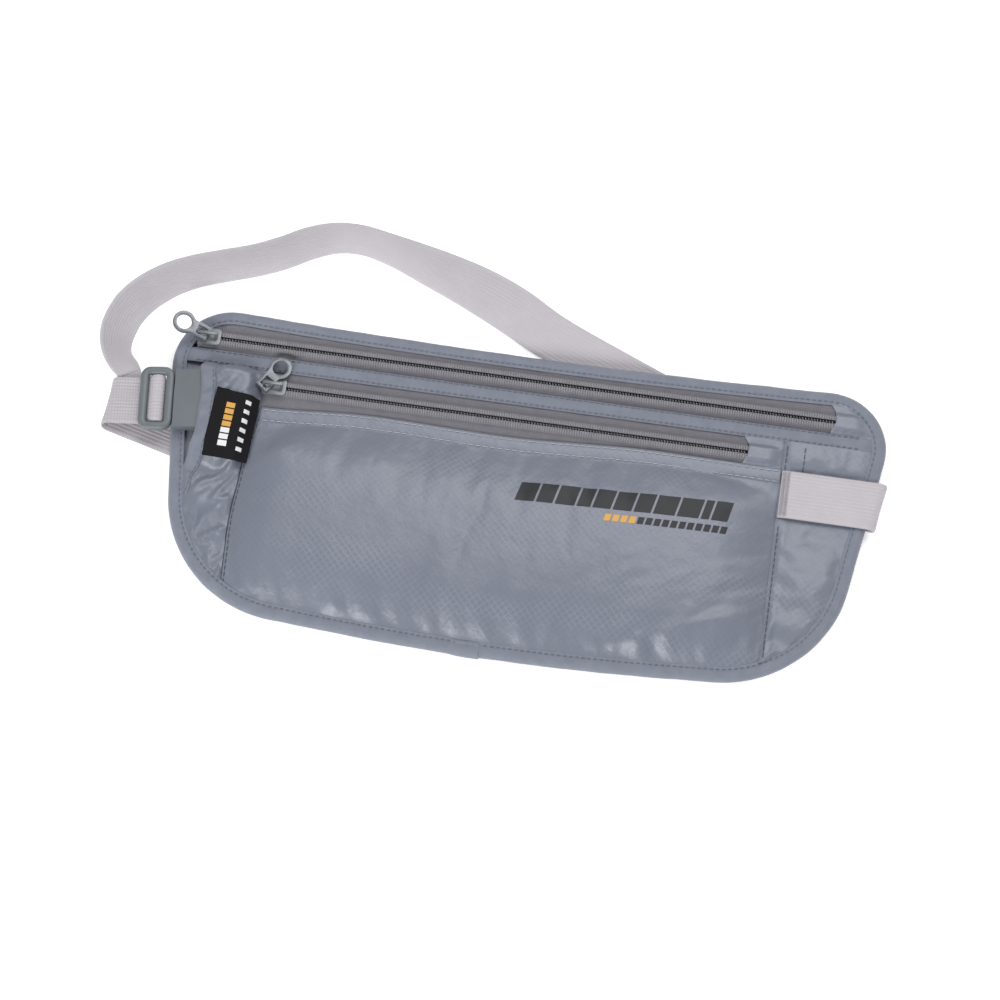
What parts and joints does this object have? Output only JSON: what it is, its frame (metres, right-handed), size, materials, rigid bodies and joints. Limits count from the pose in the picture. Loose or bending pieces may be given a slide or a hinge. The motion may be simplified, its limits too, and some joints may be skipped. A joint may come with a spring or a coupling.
{
  "type": "waist money belt",
  "caption": "Flat zipped fabric travel pouch worn on an adjustable elastic waist strap with a side-release buckle.",
  "frame": {"origin": "middle of the whole belt seen from above, on the surface that it lies on", "axes": "+X to the wearer's left along the pouch, away from the buckle, +Y towards the zips, +Z out of the pouch's front"},
  "size_m": [0.3256, 0.1716, 0.0199],
  "materials": {
    "mesh": "padded spacer mesh",
    "binding": "ribbed woven tape",
    "ripstop": "coated ripstop nylon, slight sheen",
    "lining": "metallised shielding cloth",
    "tape": "knitted zip tape",
    "coil": "nylon coil",
    "slider": "painted die-cast zinc",
    "plastic": "fine grained acetal",
    "elastic": "ribbed woven elastic",
    "thread": "polyester thread",
    "label": "flat woven label, plain"
  },
  "bodies": {
    "pouch": {"back_panel": "mesh", "edge_binding": "binding", "left_wing_binding": "binding", "middle_band": "binding", "divider_panel": "ripstop", "front_panel": "ripstop", "left_wing_panel": "ripstop", "right_wing_panel": "ripstop", "upper_zip_end_cover": "ripstop", "lower_zip_end_cover": "ripstop", "rfid_lining_rear": "lining", "rfid_lining_front": "lining", "upper_zip_tape_upper": "tape", "upper_zip_tape_lower": "tape", "lower_zip_tape_upper": "tape", "lower_zip_tape_lower": "tape", "upper_zip_coil_upper": "coil", "upper_zip_coil_lower": "coil", "lower_zip_coil_upper": "coil", "lower_zip_coil_lower": "coil", "buckle_female": "plastic", "buckle_anchor": "elastic", "waist_strap": "elastic", "strap_bartack": "thread", "label": "label"},
    "upper_slider": {"upper_zip_slider": "slider"},
    "lower_slider": {"lower_zip_slider": "slider"},
    "upper_pull": {"upper_zip_pull": "slider"},
    "lower_pull": {"lower_zip_pull": "slider"},
    "male_half": {"buckle_male": "plastic", "strap_buckle_end": "elastic", "strap_tail": "elastic"},
    "arm_upper": {"latch_arm_upper": "plastic"},
    "arm_lower": {"latch_arm_lower": "plastic"}
  },
  "joints": [
    {"name": "upper_zip_slide", "type": "slide", "parent": "pouch", "child": "upper_slider", "axis": [1, 0, 0], "range_m": [0, 0.248]},
    {"name": "lower_zip_slide", "type": "slide", "parent": "pouch", "child": "lower_slider", "axis": [1, 0, 0], "range_m": [0, 0.184]},
    {"name": "upper_pull_swing", "type": "hinge", "parent": "upper_slider", "child": "upper_pull", "pos_m": [-0.11861, 0.03241, 0.0096], "axis": [0.2756, 0.9613, 0], "range_deg": [-12, 160]},
    {"name": "lower_pull_swivel", "type": "hinge", "parent": "lower_slider", "child": "lower_pull", "pos_m": [-0.09201, 0.01441, 0.00895], "axis": [0, 0, 1], "range_deg": [-20, 40]},
    {"name": "buckle_release", "type": "slide", "parent": "pouch", "child": "male_half", "axis": [-0.9936, -0.1132, 0], "range_m": [0, 0.026]},
    {"name": "latch_arm_upper_flex", "type": "hinge", "parent": "male_half", "child": "arm_upper", "pos_m": [-0.12723, 0.01064, 0.0087], "axis": [0, 0, -1], "range_deg": [0, 6], "stiffness_Nm_per_rad": 0.05},
    {"name": "latch_arm_lower_flex", "type": "hinge", "parent": "male_half", "child": "arm_lower", "pos_m": [-0.12542, -0.00526, 0.0087], "axis": [0, 0, -1], "range_deg": [-6, 0], "stiffness_Nm_per_rad": 0.05}
  ],
  "couplings": [
    {"joint": "latch_arm_lower_flex", "follows": "latch_arm_upper_flex", "ratio": -1}
  ]
}
